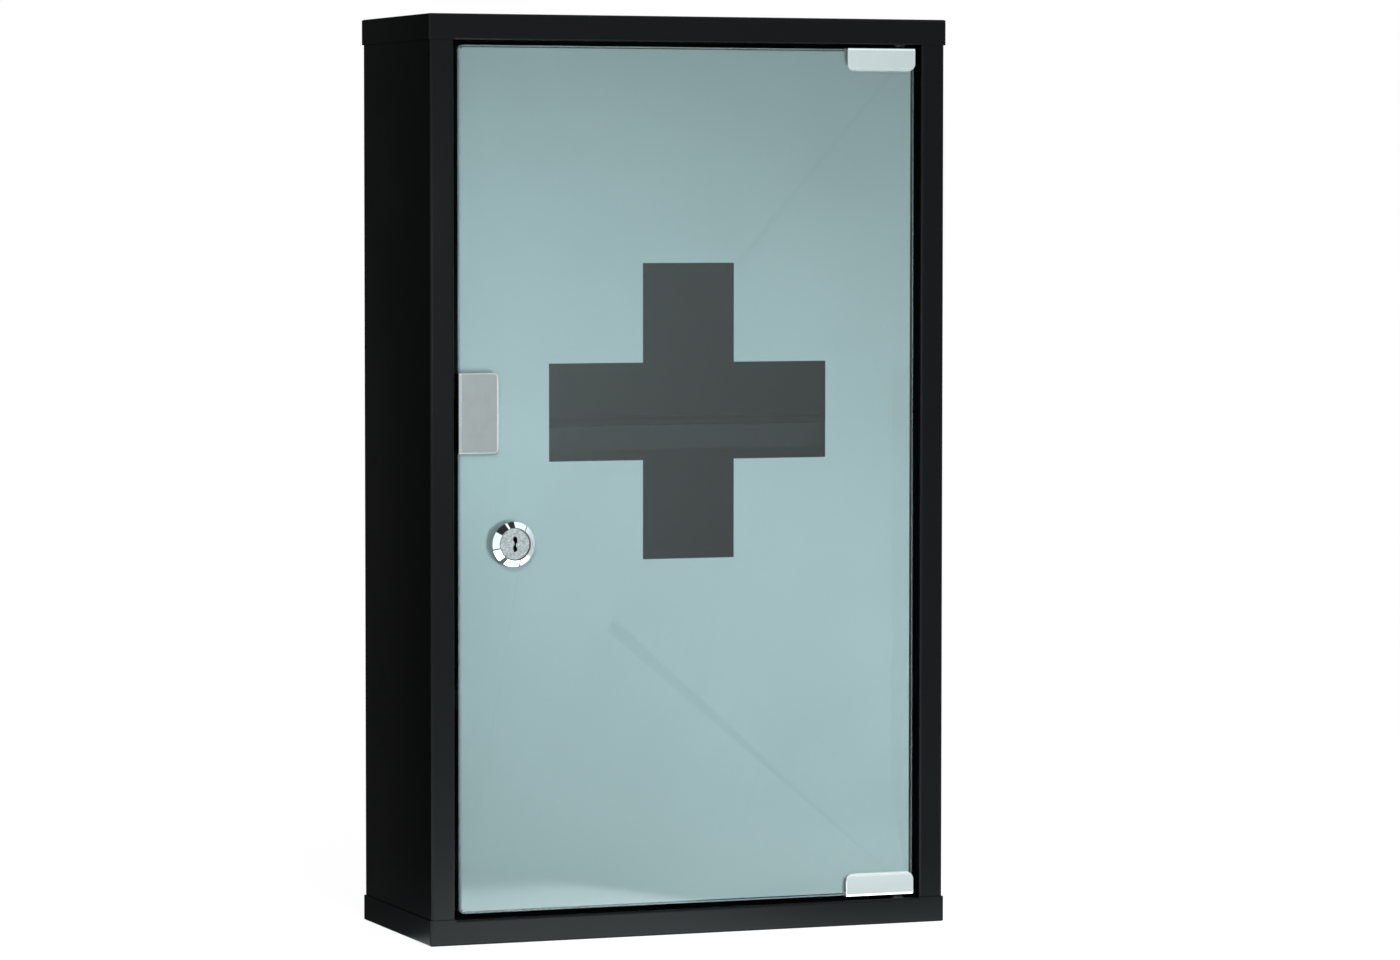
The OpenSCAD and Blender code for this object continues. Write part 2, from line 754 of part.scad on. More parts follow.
module ring_on_lock_axis(z, t, outer_d, inner_d) {
    on_lock_axis() translate([0, 0, z]) difference() {
        cylinder(d = outer_d, h = t);
        translate([0, 0, -over]) cylinder(d = inner_d, h = t + 2 * over);
    }
}

module lock_gasket() {
    color(black_plastic) ring_on_lock_axis(0, gasket_t, bezel_d - 0.6, barrel_d + 2 * ring_gap);
}

module lock_washer() {
    color(rubber) ring_on_lock_axis(glass_front - frost_back - lock_washer_t, lock_washer_t,
                                    lock_washer_d, barrel_d + 2 * ring_gap);
}

module lock_nut() {
    z = glass_front - frost_back - lock_washer_t - nut_t;
    color(zinc) on_lock_axis() translate([0, 0, z]) difference() {
        intersection() {
            cylinder(d = nut_af / cos(30), h = nut_t, $fn = 6);
            nut_chamfer();
        }
        translate([0, 0, -over]) cylinder(d = barrel_d + 2 * screw_gap, h = nut_t + 2 * over);
    }
}

// Turned-down corners of the nut
module nut_chamfer() {
    r = nut_af / 2;
    slope = 0.8;
    rotate_extrude() polygon([
        [0, 0], [r, 0], [r + 2, slope], [r + 2, nut_t - slope], [r, nut_t], [0, nut_t]
    ]);
}

// Plug with its face, keyway, wafer slots and the square tail that drives the cam
module lock_plug() {
    face_z = bezel_proud - plug_sink;
    color(satin_nickel)
    on_lock_axis() difference() {
        union() {
            translate([0, 0, face_z - plug_head_l + running_gap])
                cylinder(d = plug_face_d, h = plug_head_l - running_gap - plug_chamfer);
            translate([0, 0, face_z - plug_chamfer])
                cylinder(d1 = plug_face_d, d2 = plug_face_d - 2 * plug_chamfer, h = plug_chamfer);
            translate([0, 0, -barrel_end]) cylinder(d = plug_d, h = barrel_end);
            translate([-tail_af / 2, -tail_af / 2, -plug_end]) cube([tail_af, tail_af, plug_end]);
        }
        translate([0, 0, face_z - keyway_depth]) linear_extrude(keyway_depth + over) keyway();
        for (i = [0:wafer_count - 1])
            translate([0, 0, -wafer_first - i * wafer_pitch])
                cube([wafer_w + 2 * wafer_gap, plug_d + 2, wafer_t + 2 * wafer_gap], center = true);
        translate([0, 0, -plug_end - over]) cylinder(d = cam_screw_d + 2 * screw_gap, h = cam_hole_l + over);
    }
}

// Keyway with a ward on each side
module keyway() {
    w = keyway_w / 2;
    h = keyway_h / 2;
    ward = 0.7;
    polygon([
        [-w * 0.4, -h], [w, -h + 1], [w, -h * 0.45], [w - ward, -h * 0.3], [w - ward, h * 0.1],
        [w, h * 0.25], [w, h * 0.7], [w * 0.4, h], [-w * 0.5, h], [-w, h - 1], [-w, h * 0.45],
        [ward - w, h * 0.3], [ward - w, -h * 0.1], [-w, -h * 0.25], [-w, -h * 0.7]
    ]);
}

// Sprung wafers of the plug, each with a window that the key passes through
module lock_wafers() {
    color(zinc)
    on_lock_axis() for (i = [0:wafer_count - 1])
        translate([0, 0, -wafer_first - i * wafer_pitch]) difference() {
            intersection() {
                cube([wafer_w, wafer_h, wafer_t], center = true);
                cylinder(d = plug_d - 0.2, h = wafer_t, center = true);
            }
            cube([keyway_w + 0.4, keyway_h - 2, wafer_t + over], center = true);
        }
}

// Washer keyed to the plug's tail; its tab runs in the barrel's recess and stops the turn
module lock_stop_washer() {
    z = glass_front - cam_front;
    tab_mid = 90 + lock_turn / 2;
    half_tab = stop_tab_angle / 2;
    color(zinc)
    on_lock_axis() difference() {
        union() {
            translate([0, 0, z]) cylinder(d = stop_washer_d, h = stop_washer_t);
            translate([0, 0, z]) linear_extrude(stop_washer_t + stop_tab_l) difference() {
                intersection() {
                    circle(d = stop_washer_d);
                    sector(tab_mid - half_tab, tab_mid + half_tab, stop_washer_d);
                }
                circle(d = stop_ring_d + 2 * stop_tab_gap);
            }
        }
        translate([0, 0, z - over]) tail_hole(stop_washer_t + 2 * over);
    }
}

module tail_hole(h) {
    w = tail_af + 2 * tail_gap;
    translate([-w / 2, -w / 2, 0]) cube([w, w, h]);
}

// Cam, hanging down while the lock is open
module lock_cam() {
    z = glass_front - cam_front - cam_t;
    color(zinc)
    on_lock_axis() translate([0, 0, z]) difference() {
        linear_extrude(cam_t) polygon(plate_outline(
            [-cam_w / 2, -cam_reach], [cam_w / 2, cam_head_r],
            [cam_tip_r, cam_w / 2 - 0.2, cam_w / 2 - 0.2, cam_tip_r]));
        translate([0, 0, -over]) tail_hole(cam_t + 2 * over);
    }
}

module cam_washer() {
    color(zinc) ring_on_lock_axis(glass_front - cam_front - cam_t - cam_washer_t, cam_washer_t,
                                  cam_washer_d, cam_screw_d + 4 * screw_gap);
}

// Screw that holds the cam on the plug's tail
module cam_screw() {
    z = glass_front - cam_front - cam_t - cam_washer_t;
    head_r = cam_screw_head_d / 2;
    color(zinc)
    on_lock_axis() translate([0, 0, z]) difference() {
        rotate_extrude() polygon([
            [0, -cam_screw_head_t], [head_r - 1.2, -cam_screw_head_t], [head_r, -cam_screw_head_t / 2],
            [head_r, 0], [cam_screw_d / 2, 0], [cam_screw_d / 2, cam_screw_l], [0, cam_screw_l]
        ]);
        translate([0, 0, -cam_screw_head_t - over]) cross_recess(4.8, 1, 1.2 + over);
    }
}

// ---- Assembly -------------------------------------------------------------------------

body_wrap();
top_cap();
bottom_cap();
upper_shelf();
lower_shelf();
pivot_bush_top();
pivot_bush_bottom();
latch_housing();
latch_screws();
latch_spring();
latch_plunger();
latch_magnet();
door_glass();
frost_coat();
hinge_clip_top();
hinge_clip_bottom();
clip_liner_top();
clip_liner_bottom();
pivot_pin_top();
pivot_pin_bottom();
clip_screws();
push_plate();
push_plate_liner();
push_plate_screws();
lock_barrel();
lock_gasket();
lock_washer();
lock_nut();
lock_plug();
lock_wafers();
lock_stop_washer();
lock_cam();
cam_washer();
cam_screw();
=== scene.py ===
import json
import math

import bmesh
import bpy
from mathutils import Matrix, Vector


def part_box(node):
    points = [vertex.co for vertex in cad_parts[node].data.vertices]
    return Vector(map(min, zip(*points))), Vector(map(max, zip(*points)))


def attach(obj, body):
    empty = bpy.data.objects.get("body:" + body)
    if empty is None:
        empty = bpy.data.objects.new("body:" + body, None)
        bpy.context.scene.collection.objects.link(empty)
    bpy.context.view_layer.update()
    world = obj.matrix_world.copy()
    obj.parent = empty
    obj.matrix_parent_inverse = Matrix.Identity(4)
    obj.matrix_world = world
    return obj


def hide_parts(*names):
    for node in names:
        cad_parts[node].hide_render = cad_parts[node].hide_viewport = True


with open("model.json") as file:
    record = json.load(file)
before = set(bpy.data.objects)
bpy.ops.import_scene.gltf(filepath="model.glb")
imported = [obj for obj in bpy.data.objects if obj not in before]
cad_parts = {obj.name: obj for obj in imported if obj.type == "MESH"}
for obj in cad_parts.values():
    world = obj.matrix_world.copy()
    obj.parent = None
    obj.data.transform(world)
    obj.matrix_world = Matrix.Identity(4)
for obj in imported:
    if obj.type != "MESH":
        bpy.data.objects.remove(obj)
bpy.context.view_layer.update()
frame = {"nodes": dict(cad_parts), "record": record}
NODE = frame["nodes"]
MM = 0.001
SAME_POINT = 0.001 * MM
LOCK_AXIS = next(joint["pos_m"] for joint in frame["record"]["behaviour"]["joints"]
                 if joint["name"] == "lock_turn")
GLASS_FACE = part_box("door_glass")[0][1]
PLUG_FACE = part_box("lock_plug")[0][1]


def add_object(name, data):
    made = bpy.data.objects.new(name, data)
    bpy.context.scene.collection.objects.link(made)
    return made


# ---- Camera -----------------------------------------------------------------------------
# Solved from the straight edges of the cabinet in a picture 1400 pixels wide. The angles are
# in degrees.
PHOTO_WIDTH = 1400
FOCAL_PIXELS = 5407.1
SENSOR_WIDTH_MM = 36.0
CAMERA_PLACE = (-1.04424, -2.86691, 0.39961)
CAMERA_YAW = 20.900
CAMERA_DOWN = 2.944
CAMERA_ROLL = 0.03
NEAREST_SEEN = 0.05
FARTHEST_SEEN = 60.0


def set_camera():
    data = bpy.data.cameras.new("camera")
    data.sensor_width = SENSOR_WIDTH_MM
    data.lens = FOCAL_PIXELS / PHOTO_WIDTH * SENSOR_WIDTH_MM
    data.clip_start = NEAREST_SEEN
    data.clip_end = FARTHEST_SEEN
    turn = Matrix.Rotation(math.radians(-CAMERA_YAW), 4, "Z")
    tilt = Matrix.Rotation(math.radians(90 - CAMERA_DOWN), 4, "X")
    roll = Matrix.Rotation(math.radians(CAMERA_ROLL), 4, "Z")
    camera = add_object("camera", data)
    camera.matrix_world = Matrix.Translation(CAMERA_PLACE) @ turn @ tilt @ roll
    bpy.context.scene.camera = camera


# ---- Shader helpers ---------------------------------------------------------------------
class Shader:
    """A node tree with short calls to add and join nodes."""

    # the sockets of a Mix node that carry colours
    FIRST_COLOUR = 6
    SECOND_COLOUR = 7
    MIXED_COLOUR = 2
    # how the nodes are laid out in the editor
    COLUMN_WIDTH = 170
    ROW_HEIGHT = 60
    ROWS = 5

    def __init__(self, tree):
        self.tree = tree
        self.column = 0

    def add(self, kind, values=None, **settings):
        node = self.tree.nodes.new(kind)
        self.column += 1
        row = self.column % self.ROWS
        node.location = (self.COLUMN_WIDTH * self.column, -self.ROW_HEIGHT * row)
        for name, value in settings.items():
            setattr(node, name, value)
        self.fill(node, values or {})
        return node

    def fill(self, node, values):
        for name, value in values.items():
            self.put(value, node.inputs[name])

    def put(self, value, socket):
        if isinstance(value, bpy.types.NodeSocket):
            self.tree.links.new(value, socket)
        elif isinstance(value, (tuple, list)) and len(value) == 3 and socket.type == "RGBA":
            socket.default_value = (*value, 1.0)
        else:
            socket.default_value = value

    def group(self, group, values):
        node = self.tree.nodes.new("ShaderNodeGroup")
        node.node_tree = group
        self.fill(node, values)
        return node.outputs

    def place(self):
        """The place on the object, in metres."""
        return self.add("ShaderNodeTexCoord").outputs["Object"]

    def math(self, operation, a, b=0.0, clamp=False):
        node = self.add("ShaderNodeMath", {0: a, 1: b}, operation=operation, use_clamp=clamp)
        return node.outputs[0]

    def vector(self, operation, a, b=(0.0, 0.0, 0.0), output="Vector"):
        node = self.add("ShaderNodeVectorMath", {0: a, 1: b}, operation=operation)
        return node.outputs[output]

    def span(self, value, low, high, to_low, to_high, smooth=False):
        node = self.add("ShaderNodeMapRange", {
            "Value": value, "From Min": low, "From Max": high, "To Min": to_low, "To Max": to_high})
        if smooth:
            node.interpolation_type = "SMOOTHSTEP"
        return node.outputs[0]

    def noise(self, place, scale, detail, roughness=0.5):
        return self.add("ShaderNodeTexNoise", {
            "Vector": place, "Scale": scale, "Detail": detail, "Roughness": roughness}).outputs[0]

    def mix_colour(self, factor, a, b):
        node = self.add("ShaderNodeMix", {"Factor": factor}, data_type="RGBA")
        self.put(a, node.inputs[self.FIRST_COLOUR])
        self.put(b, node.inputs[self.SECOND_COLOUR])
        return node.outputs[self.MIXED_COLOUR]

    def mix_shader(self, factor, a, b):
        return self.add("ShaderNodeMixShader", {0: factor, 1: a, 2: b}).outputs[0]

    def toned(self, colour, tone):
        return self.add("ShaderNodeHueSaturation", {"Value": tone, "Color": colour}).outputs[0]

    def bump(self, height, strength, distance):
        return self.add("ShaderNodeBump", {
            "Height": height, "Strength": strength, "Distance": distance}).outputs[0]


def new_group(name, inputs, outputs):
    """A node group; inputs are (name, kind, default), and outputs are names of numbers."""
    tree = bpy.data.node_groups.new(name, "ShaderNodeTree")
    for label, kind, default in inputs:
        socket = tree.interface.new_socket(label, in_out="INPUT", socket_type=f"NodeSocket{kind}")
        socket.default_value = default
    for label in outputs:
        tree.interface.new_socket(label, in_out="OUTPUT", socket_type="NodeSocketFloat")
    shader = Shader(tree)
    entry = tree.nodes.new("NodeGroupInput")
    leave = tree.nodes.new("NodeGroupOutput")
    return shader, entry.outputs, leave.inputs


def new_material(name):
    material = bpy.data.materials.new(name)
    material.use_nodes = True
    shader = Shader(material.node_tree)
    surface = material.node_tree.nodes["Principled BSDF"]
    return material, shader, surface


def show(material, shader, result):
    shader.put(result, material.node_tree.nodes["Material Output"].inputs["Surface"])


# ---- Effects shared by several finishes -------------------------------------------------
def make_powder_texture():
    """The fine skin of powder coat, frost, plastic and rubber, and a slight drift of tone."""
    shader, given, made = new_group(
        "powder_texture",
        [("Grain per metre", "Float", 900.0), ("Depth", "Float", 0.5), ("Colour spread", "Float", 0.1)],
        ["Height", "Tone"])
    place = shader.place()
    grain = shader.noise(place, given["Grain per metre"], 3.0, 0.55)
    cloud = shader.noise(place, 14.0, 2.0)
    shader.put(shader.math("MULTIPLY", grain, given["Depth"]), made["Height"])
    swing = shader.math("MULTIPLY", shader.math("SUBTRACT", cloud, 0.5), given["Colour spread"])
    shader.put(shader.math("ADD", swing, 1.0), made["Tone"])
    return shader.tree


def make_brushed_grain():
    """Fine scratches along one direction of the piece."""
    shader, given, made = new_group(
        "brushed_grain",
        [("Stretch", "Vector", (1.0, 1.0, 40.0)), ("Lines per metre", "Float", 3000.0),
         ("Strength", "Float", 0.1)],
        ["Height", "Roughness shift"])
    along = shader.vector("DIVIDE", shader.place(), given["Stretch"])
    lines = shader.noise(along, given["Lines per metre"], 2.0, 0.7)
    centred = shader.math("SUBTRACT", lines, 0.5)
    shader.put(shader.math("MULTIPLY", centred, given["Strength"]), made["Roughness shift"])
    shader.put(lines, made["Height"])
    return shader.tree


def make_handling_haze():
    """Soft cloudy patches of dust and handling that dull a polished surface a little."""
    shader, given, made = new_group(
        "handling_haze",
        [("Patches per metre", "Float", 20.0), ("Amount", "Float", 0.1)],
        ["Haze"])
    cloud = shader.noise(shader.place(), given["Patches per metre"], 4.0, 0.6)
    patch = shader.span(cloud, 0.42, 0.72, 0.0, 1.0, smooth=True)
    shader.put(shader.math("MULTIPLY", patch, given["Amount"]), made["Haze"])
    return shader.tree


def make_painted_edge_highlight():
    """A mask of the edges of a piece, where a pale highlight is painted."""
    shader, given, made = new_group("burnished_edge", [("Width", "Float", 0.4 * MM)], ["Edge"])
    rounded = shader.add("ShaderNodeBevel", {"Radius": given["Width"]}).outputs[0]
    flat = shader.add("ShaderNodeNewGeometry").outputs["Normal"]
    agreement = shader.vector("DOT_PRODUCT", rounded, flat, "Value")
    shader.put(shader.span(agreement, 0.99, 0.90, 0.0, 1.0, smooth=True), made["Edge"])
    return shader.tree


POWDER = make_powder_texture()
BRUSHED = make_brushed_grain()
HAZE = make_handling_haze()
PAINTED_EDGE_HIGHLIGHT = make_painted_edge_highlight()


# ---- Finishes ---------------------------------------------------------------------------
ALONG_X = (40.0, 1.0, 1.0)
ALONG_Z = (1.0, 1.0, 40.0)
EVEN = (1.0, 1.0, 1.0)
# Width of the highlight painted along the edges of the nickel pieces
EDGE_HIGHLIGHT_WIDTH = 1.0 * MM
KEYWAY_R = 6.0 * MM


def powder_coat():
    """Satin black powder coat over sheet steel."""
    material, shader, surface = new_material("black_powder_coat")
    peel = shader.group(POWDER, {"Grain per metre": 1100.0, "Depth": 0.6, "Colour spread": 0.35})
    haze = shader.group(HAZE, {"Patches per metre": 9.0, "Amount": 0.05})["Haze"]
    black = shader.mix_colour(haze, (0.0030, 0.0033, 0.0036), (0.012, 0.013, 0.014))
    shader.fill(surface, {
        "Base Color": shader.toned(black, peel["Tone"]),
        "Roughness": shader.math("ADD", shader.math("MULTIPLY", haze, 1.5), 0.34),
        "Specular IOR Level": 0.14,
        "Normal": shader.bump(peel["Height"], 0.10, 0.04 * MM)})
    return material


def let_lamps_through(material, shader, surface, tint):
    """Light from the lamps passes the piece with a tint, and everything else meets its surface."""
    lamp_ray = shader.add("ShaderNodeLightPath").outputs["Is Shadow Ray"]
    clear = shader.add("ShaderNodeBsdfTransparent", {"Color": tint})
    show(material, shader, shader.mix_shader(lamp_ray, surface.outputs[0], clear.outputs[0]))


def float_glass():
    """Clear float glass with a slight green cast."""
    material, shader, surface = new_material("float_glass")
    shader.fill(surface, {
        "Base Color": (0.955, 0.985, 0.980),
        "Roughness": shader.group(HAZE, {"Patches per metre": 16.0, "Amount": 0.02})["Haze"],
        "IOR": 1.50,
        "Transmission Weight": 1.0})
    let_lamps_through(material, shader, surface, (0.98, 0.995, 0.99))
    return material


def frosted_coat():
    """Pale blue-green frost, which spreads the light that passes it."""
    material, shader, surface = new_material("frosted_coat")
    peel = shader.group(POWDER, {"Grain per metre": 2500.0, "Depth": 0.5, "Colour spread": 0.08})
    shader.fill(surface, {
        "Base Color": shader.toned((0.635, 0.765, 0.785), peel["Tone"]),
        "Roughness": 0.65,
        "IOR": 1.10,
        "Transmission Weight": 0.65})
    let_lamps_through(material, shader, surface, (0.62, 0.66, 0.66))
    return material


def plated_metal(name, colour, roughness, stretch, lines, strength, hazy, edge_highlight_width=0.0):
    """Plated or blackened metal with a fine grain and a little haze; a width above nought paints a
    highlight on its edges.
    """
    material, shader, surface = new_material(name)
    grain = shader.group(BRUSHED, {"Stretch": stretch, "Lines per metre": lines, "Strength": strength})
    haze = shader.group(HAZE, {"Patches per metre": 120.0, "Amount": hazy})["Haze"]
    tint = shader.mix_colour(haze, colour, tuple(0.72 * part for part in colour))
    # painted highlight: the edges are coloured near white, for the bright lines that light makes on
    # them
    if edge_highlight_width:
        edge = shader.group(PAINTED_EDGE_HIGHLIGHT, {"Width": edge_highlight_width})["Edge"]
        tint = shader.mix_colour(edge, tint, (0.95, 0.95, 0.95))
    rough = shader.math("ADD", grain["Roughness shift"], roughness)
    shader.fill(surface, {
        "Base Color": tint,
        "Metallic": 1.0,
        "Roughness": shader.math("ADD", rough, haze, clamp=True),
        "Normal": shader.bump(grain["Height"], 0.08, 0.02 * MM)})
    return material


def turned_nickel():
    """Speckled satin nickel on the face of the plug, and painted shade inside its keyway."""
    material, shader, surface = new_material("turned_nickel")
    place = shader.place()
    apart = shader.add("ShaderNodeSeparateXYZ", {0: place}).outputs
    flat_place = shader.add("ShaderNodeCombineXYZ", {"X": apart["X"], "Y": 0.0, "Z": apart["Z"]})
    axis = (LOCK_AXIS[0], 0.0, LOCK_AXIS[2])
    from_axis = shader.vector("DISTANCE", flat_place.outputs[0], axis, "Value")
    # painted shade: the sunk walls of the keyway are coloured near black, as the shade in that recess
    inside = shader.span(from_axis, KEYWAY_R, KEYWAY_R + 0.1 * MM, 1.0, 0.0)
    sunk = shader.span(apart["Y"], PLUG_FACE + 0.1 * MM, PLUG_FACE + 0.5 * MM, 0.0, 1.0)
    painted_keyway_shade = shader.math("MULTIPLY", inside, sunk)
    speckle = shader.noise(place, 1300.0, 4.0, 0.75)
    tone = shader.span(speckle, 0.40, 0.60, 0.36, 0.72)
    nickel = shader.add("ShaderNodeCombineColor", {"Red": tone, "Green": tone, "Blue": tone}).outputs[0]
    shader.fill(surface, {
        "Base Color": shader.mix_colour(painted_keyway_shade, nickel, (0.02, 0.02, 0.02)),
        "Metallic": 1.0,
        "Roughness": shader.span(speckle, 0.35, 0.65, 0.38, 0.28)})
    return material


def bezel_chrome():
    """Bright chrome on the cone of the bezel, and satin on its faced front."""
    material, shader, surface = new_material("bezel_chrome")
    normal = shader.add("ShaderNodeTexCoord").outputs["Normal"]
    facing = shader.vector("DOT_PRODUCT", normal, (0.0, -1.0, 0.0), "Value")
    faced = shader.span(facing, 0.96, 0.98, 0.0, 1.0)
    haze = shader.group(HAZE, {"Patches per metre": 120.0, "Amount": 0.03})["Haze"]
    bright = shader.mix_colour(haze, (0.93, 0.93, 0.93), (0.70, 0.70, 0.70))
    shader.fill(surface, {
        "Base Color": shader.mix_colour(faced, bright, (0.43, 0.43, 0.42)),
        "Metallic": 1.0,
        "Roughness": shader.span(faced, 0.0, 1.0, 0.04, 0.34)})
    return material


def moulded(name, colour, roughness, grain, depth):
    """Moulded plastic or rubber with a fine skin."""
    material, shader, surface = new_material(name)
    skin = shader.group(POWDER, {"Grain per metre": grain, "Depth": depth, "Colour spread": 0.3})
    haze = shader.group(HAZE, {"Patches per metre": 60.0, "Amount": 0.12})["Haze"]
    shader.fill(surface, {
        "Base Color": shader.toned(colour, skin["Tone"]),
        "Roughness": shader.math("ADD", haze, roughness),
        "Specular IOR Level": 0.35,
        "Normal": shader.bump(skin["Height"], 0.15, 0.05 * MM)})
    return material


def liner_plastic():
    """Pale soft plastic of the liners."""
    material, shader, surface = new_material("liner_plastic")
    skin = shader.group(POWDER, {"Grain per metre": 1800.0, "Depth": 0.4, "Colour spread": 0.15})
    haze = shader.group(HAZE, {"Patches per metre": 80.0, "Amount": 0.15})["Haze"]
    shader.fill(surface, {
        "Base Color": shader.toned((0.74, 0.82, 0.82), skin["Tone"]),
        "Roughness": shader.math("ADD", haze, 0.3)})
    return material


def dress_nodes():
    """Gives every piece the finish of its material slot."""
    finishes = {
        "black_paint": powder_coat(),
        "clear_glass": float_glass(),
        "frost": frosted_coat(),
        "satin_nickel": plated_metal("satin_nickel", (0.80, 0.80, 0.79), 0.12, ALONG_X,
                                     lines=2500.0, strength=0.05, hazy=0.04, edge_highlight_width=EDGE_HIGHLIGHT_WIDTH),
        "chrome": bezel_chrome(),
        "plug_metal": turned_nickel(),
        "zinc": plated_metal("bright_zinc", (0.80, 0.81, 0.80), 0.36, EVEN,
                             lines=1200.0, strength=0.15, hazy=0.12),
        "black_steel": plated_metal("black_oxide_steel", (0.030, 0.030, 0.032), 0.40, EVEN,
                                    lines=1200.0, strength=0.10, hazy=0.08),
        "black_plastic": moulded("black_plastic", (0.012, 0.012, 0.013), 0.45, grain=1400.0, depth=0.6),
        "clear_liner": liner_plastic(),
        "rubber": moulded("black_rubber", (0.010, 0.010, 0.010), 0.65, grain=900.0, depth=0.8),
        "magnet": moulded("ferrite", (0.045, 0.045, 0.050), 0.55, grain=1600.0, depth=1.0),
    }
    # the push plate's nickel is duller than that of the clips
    dull_nickel = plated_metal("brushed_nickel", (0.41, 0.41, 0.405), 0.20, ALONG_Z,
                               lines=2600.0, strength=0.08, hazy=0.05, edge_highlight_width=EDGE_HIGHLIGHT_WIDTH)
    for row in frame["record"]["subparts"]:
        piece = NODE[row["node"]]
        finish = dull_nickel if row["node"] == "push_plate" else finishes[row["material_slot"]]
        piece.data.materials.clear()
        piece.data.materials.append(finish)


# ---- Lock barrel ------------------------------------------------------------------------
BEZEL_OUTER_R = (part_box("lock_barrel")[1][0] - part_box("lock_barrel")[0][0]) / 2
BEZEL_PROUD = GLASS_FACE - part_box("lock_barrel")[0][1]
# The cone of the bezel: its radius at the front, the height where it starts, and the bore in it
BEZEL_FACE_R = 8.95 * MM
BEZEL_RIM = 0.8 * MM
BEZEL_BORE_R = 8.60 * MM
# Points this close to the bore's radius lie on it, and those this many times as far out do not
ON_BORE = 0.01 * MM
CLEAR_OF_BORE = 1.1
SHARP_FROM = math.radians(30)


def turn_bezel():
    """The lock barrel again, with a longer cone that runs in close to the plug."""
    turned = bmesh.new()
    turned.from_mesh(NODE["lock_barrel"].data)
    bmesh.ops.remove_doubles(turned, verts=turned.verts, dist=SAME_POINT)
    rows = []
    for point in turned.verts:
        across = Vector((point.co.x - LOCK_AXIS[0], point.co.z - LOCK_AXIS[2]))
        rows.append((point, across, across.length, GLASS_FACE - point.co.y))
    bore = min(radius for point, across, radius, proud in rows if proud > 0)
    cone_rows = [row for row in rows if row[2] > CLEAR_OF_BORE * bore and row[3] > BEZEL_RIM]
    face_r = min(radius for point, across, radius, proud in cone_rows)
    for point, across, radius, proud in cone_rows:
        share = (BEZEL_OUTER_R - radius) / (BEZEL_OUTER_R - face_r)
        across *= (BEZEL_OUTER_R - share * (BEZEL_OUTER_R - BEZEL_FACE_R)) / radius
        height = BEZEL_RIM + share * (BEZEL_PROUD - BEZEL_RIM)
        point.co = (LOCK_AXIS[0] + across.x, GLASS_FACE - height, LOCK_AXIS[2] + across.y)
    for point, across, radius, proud in rows:
        if abs(radius - bore) < ON_BORE:
            across *= BEZEL_BORE_R / radius
            point.co.x = LOCK_AXIS[0] + across.x
            point.co.z = LOCK_AXIS[2] + across.y
    mesh = bpy.data.meshes.new("turned_barrel")
    turned.to_mesh(mesh)
    turned.free()
    if "custom_normal" in mesh.attributes:
        mesh.attributes.remove(mesh.attributes["custom_normal"])
    mesh.shade_smooth()
    mesh.set_sharp_from_angle(angle=SHARP_FROM)
    mesh.materials.append(NODE["lock_barrel"].data.materials[0])
    barrel = add_object("turned_barrel", mesh)
    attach(barrel, "door")
    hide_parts("lock_barrel")


BROKEN_EDGE = 0.25 * MM
BROKEN_FROM = math.radians(50)


def soften_edges():
    """A small broken edge on the folded metal pieces, which catches the light."""
    for name in ("push_plate", "hinge_clip_top", "hinge_clip_bottom"):
        piece = NODE[name]
        weld = piece.modifiers.new("weld", "WELD")
        weld.merge_threshold = SAME_POINT
        bevel = piece.modifiers.new("broken_edge", "BEVEL")
        bevel.width = BROKEN_EDGE
        bevel.segments = 2
        bevel.limit_method = "ANGLE"
        bevel.angle_limit = BROKEN_FROM
        bevel.use_clamp_overlap = True


# ---- Studio -----------------------------------------------------------------------------
# Metal, paint and glass show a studio that is brightest towards the front right. The tint is
# that of the studio in these reflections, and the room's level is what lights matt surfaces.
REFLECTED_TINT = (0.87, 1.0, 1.02)
WHITE = (1.0, 1.0, 1.0)
BRIGHT_SIDE = Vector((0.42, -0.90, -0.12))
BRIGHT_LEVEL = 1.15
DIM_LEVEL = 0.35
ROOM_LEVEL = 0.12
# Cosines of the angle from the bright side, between which the studio goes from dim to bright
DIM_AND_BRIGHT = (-0.9, 0.2)
LOCK_FRONT = Vector((LOCK_AXIS[0], GLASS_FACE - BEZEL_PROUD, LOCK_AXIS[2]))


def photo_view():
    """The direction in which the camera of the photograph looks."""
    yaw = math.radians(CAMERA_YAW)
    down = math.radians(CAMERA_DOWN)
    return Vector((math.sin(yaw) * math.cos(down), math.cos(yaw) * math.cos(down), -math.sin(down)))


# The bezel's flags are placed by what its cone mirrors in the photograph. They are directions in
# the studio, and stay where they are in every other view.
VIEW = photo_view()


def mirrored_by_bezel(angle):
    """The direction, seen from the lock, that its bezel's cone shows at an angle round it."""
    turn = math.radians(angle)
    slope = math.atan2(BEZEL_PROUD - BEZEL_RIM, BEZEL_OUTER_R - BEZEL_FACE_R)
    outward = Vector((math.cos(turn), 0.0, math.sin(turn)))
    facing = math.sin(slope) * outward + math.cos(slope) * Vector((0.0, -1.0, 0.0))
    mirrored = VIEW - 2 * VIEW.dot(facing) * facing
    if mirrored.z > 0:
        return mirrored
    # what the lower half of the bezel shows lies on the floor
    on_cone = outward * (BEZEL_OUTER_R + BEZEL_FACE_R) / 2
    to_floor = (LOCK_FRONT.z + on_cone.z) / -mirrored.z
    return (on_cone + mirrored * to_floor).normalized()


